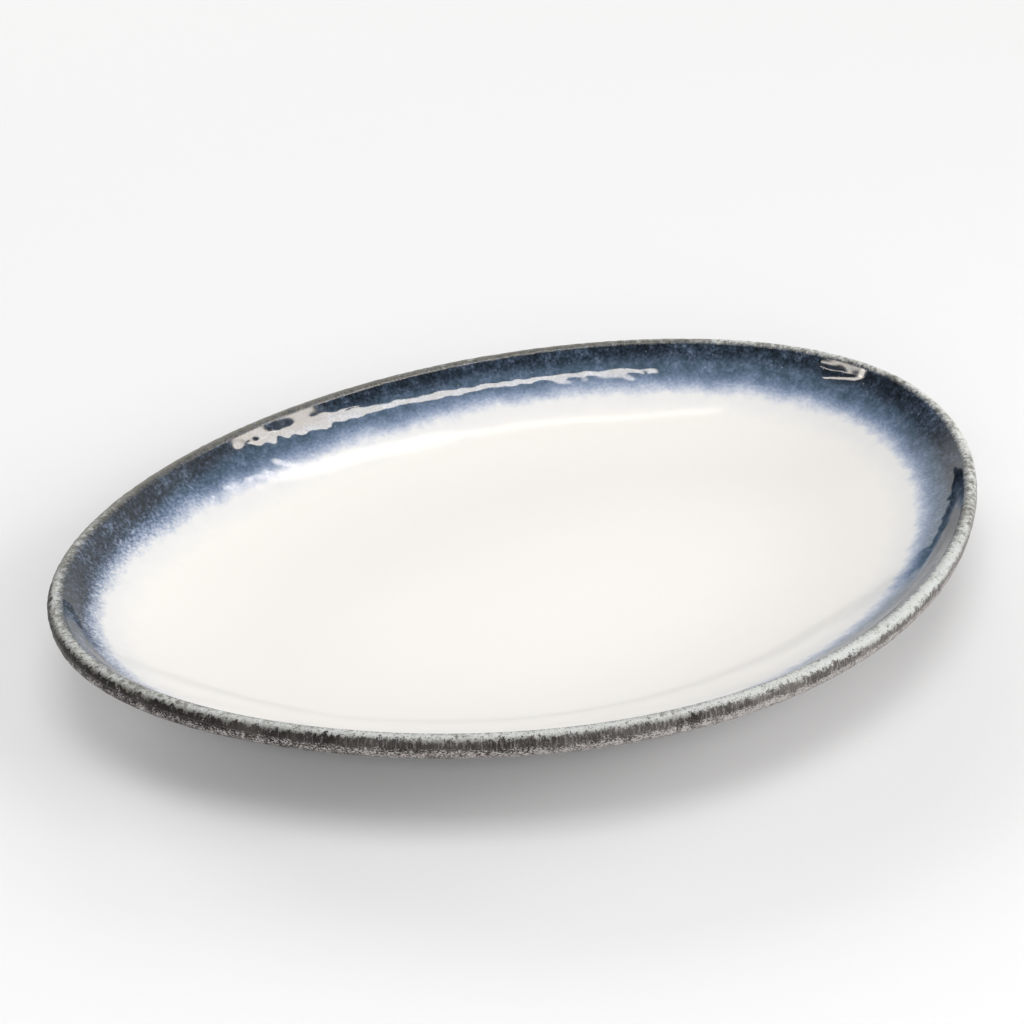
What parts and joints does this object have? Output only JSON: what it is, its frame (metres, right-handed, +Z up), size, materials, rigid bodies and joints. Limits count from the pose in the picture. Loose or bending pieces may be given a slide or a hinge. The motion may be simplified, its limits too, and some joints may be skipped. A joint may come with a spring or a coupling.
{
  "type": "shell plate",
  "caption": "Oval glazed stoneware serving plate with a shell-like outline, a flatter back edge, a round lip, a shallow dish and a bare foot ring.",
  "frame": {"origin": "on the surface that the foot ring stands on, in the middle of the plate's length and width", "axes": "+X along the length, tip to tip; +Y from the fuller long side to the flatter one; +Z up, out of the dish"},
  "size_m": [0.29, 0.214, 0.0325],
  "materials": {
    "bare_stoneware": "matt, fired bare clay",
    "white_glaze": "gloss, milky warm white",
    "blue_glaze": "gloss, sprayed cobalt band that feathers out into the white",
    "rim_glaze": "satin, mottled grey white that runs into dark on both sides",
    "brown_glaze": "satin, dark grey brown with pale specks"
  },
  "bodies": {
    "root": {"stoneware_body": "bare_stoneware", "white_inside_glaze": "white_glaze", "blue_band_glaze": "blue_glaze", "rim_glaze": "rim_glaze", "outside_glaze": "brown_glaze", "base_glaze": "brown_glaze"}
  },
  "joints": []
}
